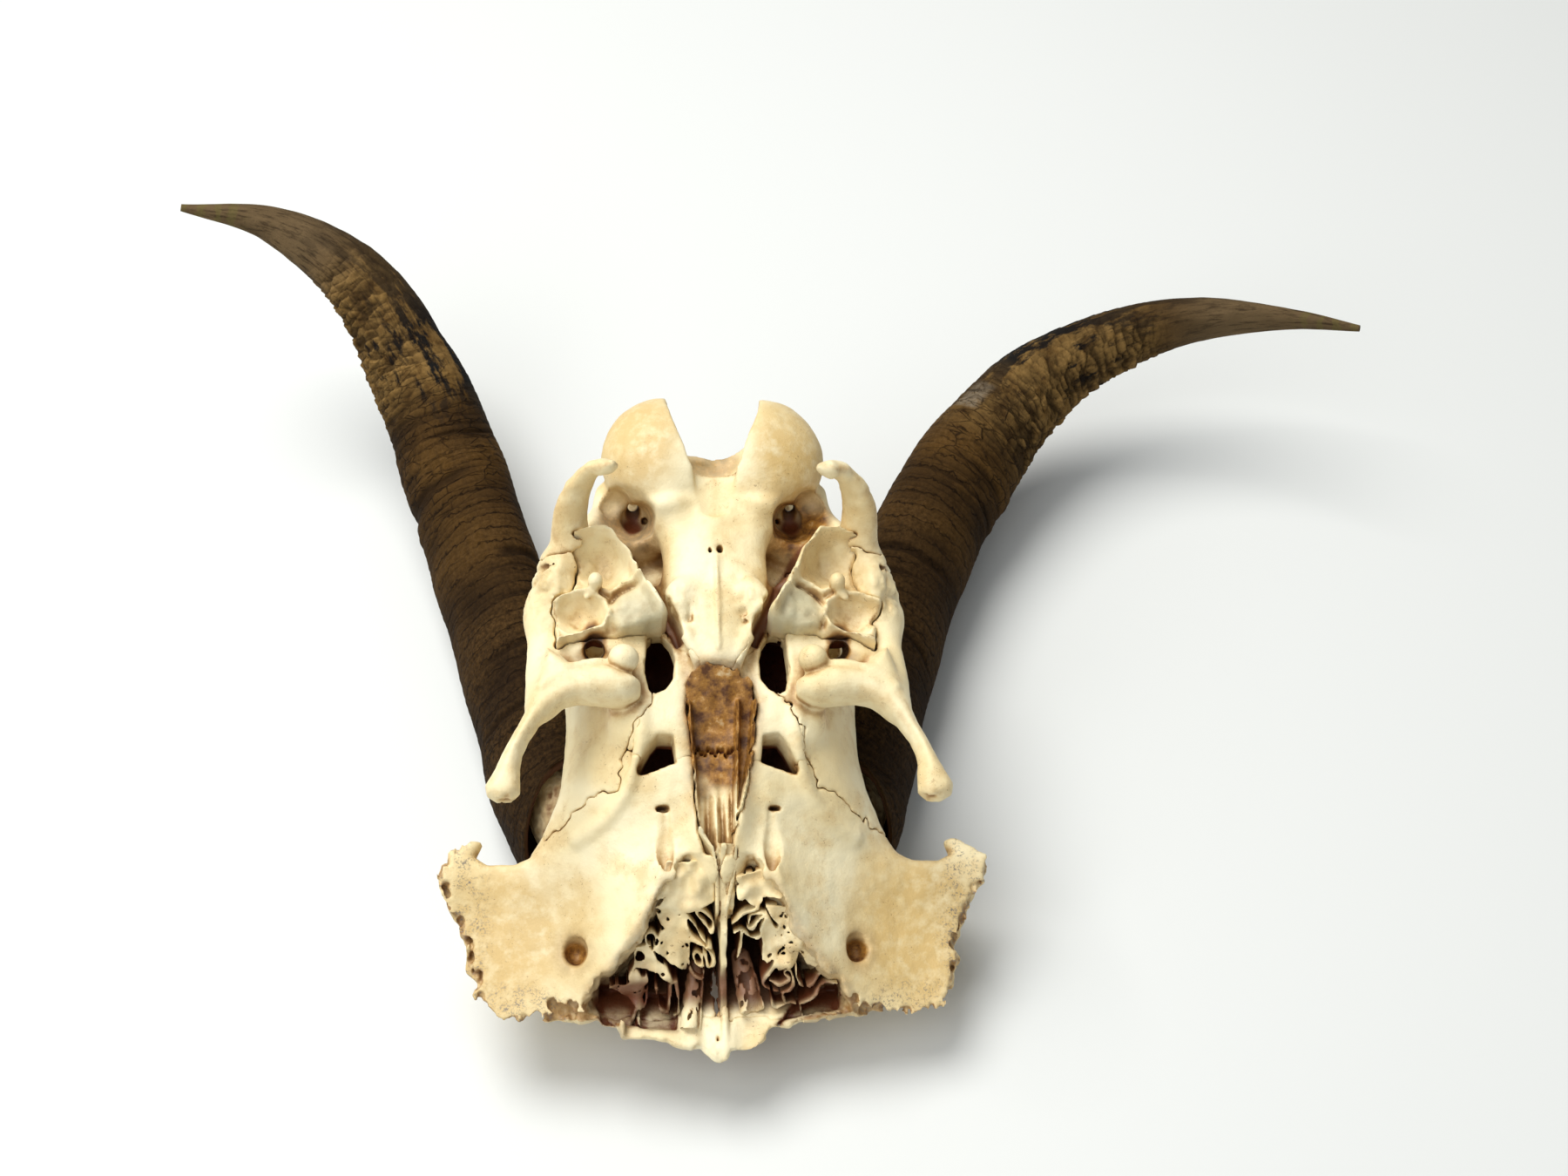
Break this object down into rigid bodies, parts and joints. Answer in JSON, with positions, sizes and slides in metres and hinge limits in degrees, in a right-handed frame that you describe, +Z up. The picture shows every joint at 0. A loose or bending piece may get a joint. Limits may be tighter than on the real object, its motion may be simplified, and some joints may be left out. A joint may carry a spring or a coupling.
{
  "type": "goat skull",
  "caption": "Skull of a horned billy goat without its face or lower jaw, lying on its forehead and horns with its underside up.",
  "frame": {"origin": "under the middle of the skull's box, on the table it lies on", "axes": "+Z up; +X towards the animal's right, the picture's right; +Y towards the nape and the horn tips"},
  "size_m": [0.3398, 0.2492, 0.1103],
  "materials": {
    "bone": "dry cream bone, satin",
    "thin_bone": "dry pale bone, matt",
    "stained_bone": "bone stained brown, matt",
    "horn": "dark brown horn keratin, dry and ringed"
  },
  "bodies": {
    "root": {"occipital": "bone", "parietal": "bone", "sphenoid": "bone", "temporal_L": "bone", "temporal_R": "bone", "frontal_L": "bone", "frontal_R": "bone", "nasal": "bone", "tympanic_L": "bone", "tympanic_R": "bone", "ethmoid_L": "thin_bone", "ethmoid_R": "thin_bone", "turbinate_L": "thin_bone", "turbinate_R": "thin_bone", "vomer": "stained_bone", "horn_sheath_L": "horn", "horn_sheath_R": "horn"}
  },
  "joints": []
}
